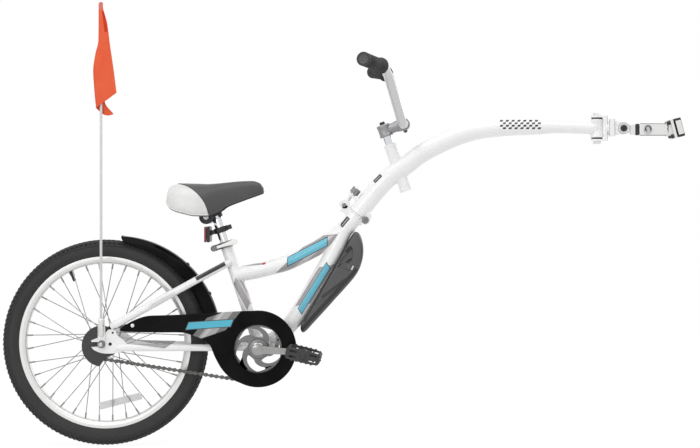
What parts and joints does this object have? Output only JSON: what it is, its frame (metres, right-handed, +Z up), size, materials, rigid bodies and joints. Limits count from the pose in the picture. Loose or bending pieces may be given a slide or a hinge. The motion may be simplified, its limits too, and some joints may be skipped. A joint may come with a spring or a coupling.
{
  "type": "trailer bike",
  "caption": "Child's single-wheel trailer bike with a curved boom, fold joint and universal hitch, saddle, handlebar, chain drive and safety flag.",
  "frame": {"origin": "centre of the hitch clamp's bore, where the seatpost that tows the bike passes", "axes": "+X forward, the way it is towed; +Y to the rider's left; +Z up; the drive side faces -Y"},
  "size_m": [1.6408, 0.617, 1.0604],
  "materials": {
    "frame_paint": "smooth near-white gloss paint",
    "gloss_black": "gloss black moulded plastic",
    "moulded_plastic": "fine-grained charcoal plastic",
    "plain_steel": "zinc-plated steel",
    "chrome_steel": "bright chrome plating",
    "silver_alloy": "satin silver alloy",
    "bar_steel": "silver-painted steel tube",
    "black_steel": "black-coated steel",
    "tyre_rubber": "black tyre rubber with ribbed sides",
    "soft_rubber": "matt black rubber",
    "vinyl": "black vinyl with light grey rear panels",
    "flag_cloth": "orange safety cloth",
    "glass_fibre": "white glass-fibre rod",
    "red_lens": "dark red prismatic lens",
    "clear_lens": "clear prismatic lens"
  },
  "bodies": {
    "rear_frame": {"neck": "frame_paint", "seat_tube": "frame_paint", "bottom_bracket_shell": "frame_paint", "top_tube": "frame_paint", "down_tube": "frame_paint", "dropout_right": "frame_paint", "dropout_left": "frame_paint", "chainstay_right": "frame_paint", "chainstay_left": "frame_paint", "seatstay_bridge": "frame_paint", "seatstay_right": "frame_paint", "seatstay_left": "frame_paint", "fender": "gloss_black", "chain_guard": "gloss_black", "sprocket_cover": "moulded_plastic", "side_fairing": "moulded_plastic", "chain": "plain_steel", "crank_bearings": "plain_steel", "wheel_axle": "plain_steel", "axle_nut": "plain_steel", "flag_bracket": "plain_steel", "flag_pole": "glass_fibre", "flag": "flag_cloth", "seat_collar": "chrome_steel", "hinge_bolt": "plain_steel"},
    "wheel": {"tyre": "tyre_rubber", "inner_tube": "soft_rubber", "rim": "silver_alloy", "spokes": "plain_steel", "hub_shell": "plain_steel", "spoke_reflector": "clear_lens"},
    "freewheel": {"rear_sprocket": "plain_steel"},
    "crankset": {"crank": "chrome_steel", "chainring": "plain_steel"},
    "pedal_right": {"pedal_right": "moulded_plastic"},
    "pedal_left": {"pedal_left": "moulded_plastic"},
    "seat_lever": {"seat_lever": "plain_steel"},
    "seatpost": {"seatpost": "chrome_steel", "reflector_bracket": "moulded_plastic", "reflector_lens": "red_lens"},
    "saddle": {"saddle_cushion": "vinyl", "saddle_base": "moulded_plastic", "saddle_rails": "plain_steel", "saddle_clamp": "black_steel"},
    "boom": {"boom_tube": "frame_paint", "head_tube": "frame_paint"},
    "latch_knob": {"latch_knob": "plain_steel"},
    "hitch_yoke": {"hitch_yoke": "frame_paint", "yaw_bolt": "black_steel", "pitch_bolt": "plain_steel"},
    "coupler": {"hitch_tongue": "frame_paint", "coupler_arm": "plain_steel", "clamp_cap": "black_steel", "clamp_shim": "gloss_black"},
    "coupler_pin": {"coupler_pin": "plain_steel"},
    "stem": {"quill_stem": "silver_alloy", "stem_bolt": "black_steel"},
    "handlebar": {"handlebar": "bar_steel", "grip_right": "soft_rubber", "grip_left": "soft_rubber"}
  },
  "joints": [
    {"name": "crank_spin", "type": "hinge", "parent": "rear_frame", "child": "crankset", "pos_m": [-0.9987, 0, -0.5266], "axis": [0, 1, 0], "continuous": true, "deforming": ["chain"]},
    {"name": "sprocket_spin", "type": "hinge", "parent": "rear_frame", "child": "freewheel", "pos_m": [-1.37, 0, -0.5145], "axis": [0, 1, 0], "continuous": true},
    {"name": "wheel_spin", "type": "hinge", "parent": "rear_frame", "child": "wheel", "pos_m": [-1.37, 0, -0.5145], "axis": [0, 1, 0], "continuous": true},
    {"name": "pedal_right_spin", "type": "hinge", "parent": "crankset", "child": "pedal_right", "pos_m": [-0.88492, -0.081, -0.53376], "axis": [0, 1, 0], "continuous": true},
    {"name": "pedal_left_spin", "type": "hinge", "parent": "crankset", "child": "pedal_left", "pos_m": [-1.11248, 0.081, -0.51944], "axis": [0, 1, 0], "continuous": true},
    {"name": "seat_lever_swing", "type": "hinge", "parent": "rear_frame", "child": "seat_lever", "pos_m": [-1.10749, -0.0223, -0.28826], "axis": [0.3156, 0, -0.9489], "range_deg": [0, 170]},
    {"name": "seatpost_height", "type": "slide", "parent": "rear_frame", "child": "seatpost", "axis": [-0.3156, 0, 0.9489], "range_m": [-0.004, 0.05]},
    {"name": "saddle_tilt", "type": "hinge", "parent": "seatpost", "child": "saddle", "pos_m": [-1.12601, 0, -0.21295], "axis": [0, 1, 0], "range_deg": [-12, 12]},
    {"name": "boom_fold", "type": "hinge", "parent": "rear_frame", "child": "boom", "pos_m": [-0.74465, 0, -0.22016], "axis": [0, 1, 0], "range_deg": [0, 110]},
    {"name": "knob_turn", "type": "hinge", "parent": "boom", "child": "latch_knob", "pos_m": [-0.77945, 0, -0.16367], "axis": [0.6293, 0, 0.7771], "continuous": true},
    {"name": "hitch_yaw", "type": "hinge", "parent": "boom", "child": "hitch_yoke", "pos_m": [-0.1868, 0, 0.0005], "axis": [0, 0, 1], "range_deg": [-60, 60]},
    {"name": "hitch_pitch", "type": "hinge", "parent": "hitch_yoke", "child": "coupler", "pos_m": [-0.1235, 0, 0.0005], "axis": [0, 1, 0], "range_deg": [-25, 25]},
    {"name": "pin_pull", "type": "slide", "parent": "coupler", "child": "coupler_pin", "axis": [0, -1, 0], "range_m": [0, 0.05]},
    {"name": "stem_height", "type": "slide", "parent": "boom", "child": "stem", "axis": [-0.3387, 0, 0.9409], "range_m": [-0.018, 0.03]},
    {"name": "bar_tilt", "type": "hinge", "parent": "stem", "child": "handlebar", "pos_m": [-0.65294, 0, 0.00992], "axis": [0, 1, 0], "range_deg": [-30, 30]}
  ],
  "couplings": [
    {"joint": "sprocket_spin", "follows": "crank_spin", "ratio": 2.2222}
  ]
}
